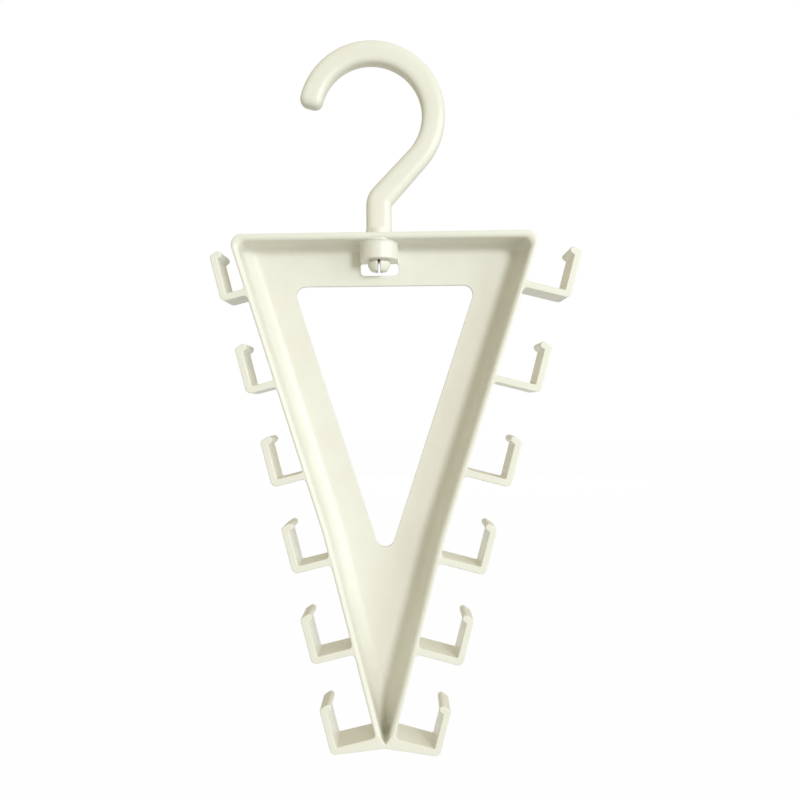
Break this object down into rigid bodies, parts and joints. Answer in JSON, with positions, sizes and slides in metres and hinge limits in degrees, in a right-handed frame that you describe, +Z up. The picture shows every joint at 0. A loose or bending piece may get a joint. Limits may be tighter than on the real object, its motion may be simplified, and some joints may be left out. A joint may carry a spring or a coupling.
{
  "type": "tie hanger",
  "caption": "Triangular moulded tie hanger with a recessed tray frame, open J-shaped tie arms down both sides and a swivelling rail hook.",
  "frame": {"origin": "on the rail, at the underside of the hook's crown, in the middle of the rod's depth", "axes": "+Z up along the hanging hanger, -Y towards the tray's open front, +X to the viewer's right of the open front"},
  "size_m": [0.1531, 0.018, 0.2979],
  "materials": {
    "tray_ivory": "semi-gloss ivory polypropylene",
    "hook_ivory": "semi-gloss ivory polypropylene"
  },
  "bodies": {
    "hook": {"swivel_hook": "hook_ivory"},
    "frame": {"frame_tray": "tray_ivory", "tie_arm_left_1": "tray_ivory", "tie_arm_left_2": "tray_ivory", "tie_arm_left_3": "tray_ivory", "tie_arm_left_4": "tray_ivory", "tie_arm_left_5": "tray_ivory", "tie_arm_left_6": "tray_ivory", "tie_arm_right_1": "tray_ivory", "tie_arm_right_2": "tray_ivory", "tie_arm_right_3": "tray_ivory", "tie_arm_right_4": "tray_ivory", "tie_arm_right_5": "tray_ivory", "tie_arm_right_6": "tray_ivory"}
  },
  "joints": [
    {"name": "hook_swivel", "type": "hinge", "parent": "hook", "child": "frame", "pos_m": [0.0037, 0, -0.077], "axis": [0, 0, 1], "continuous": true}
  ]
}
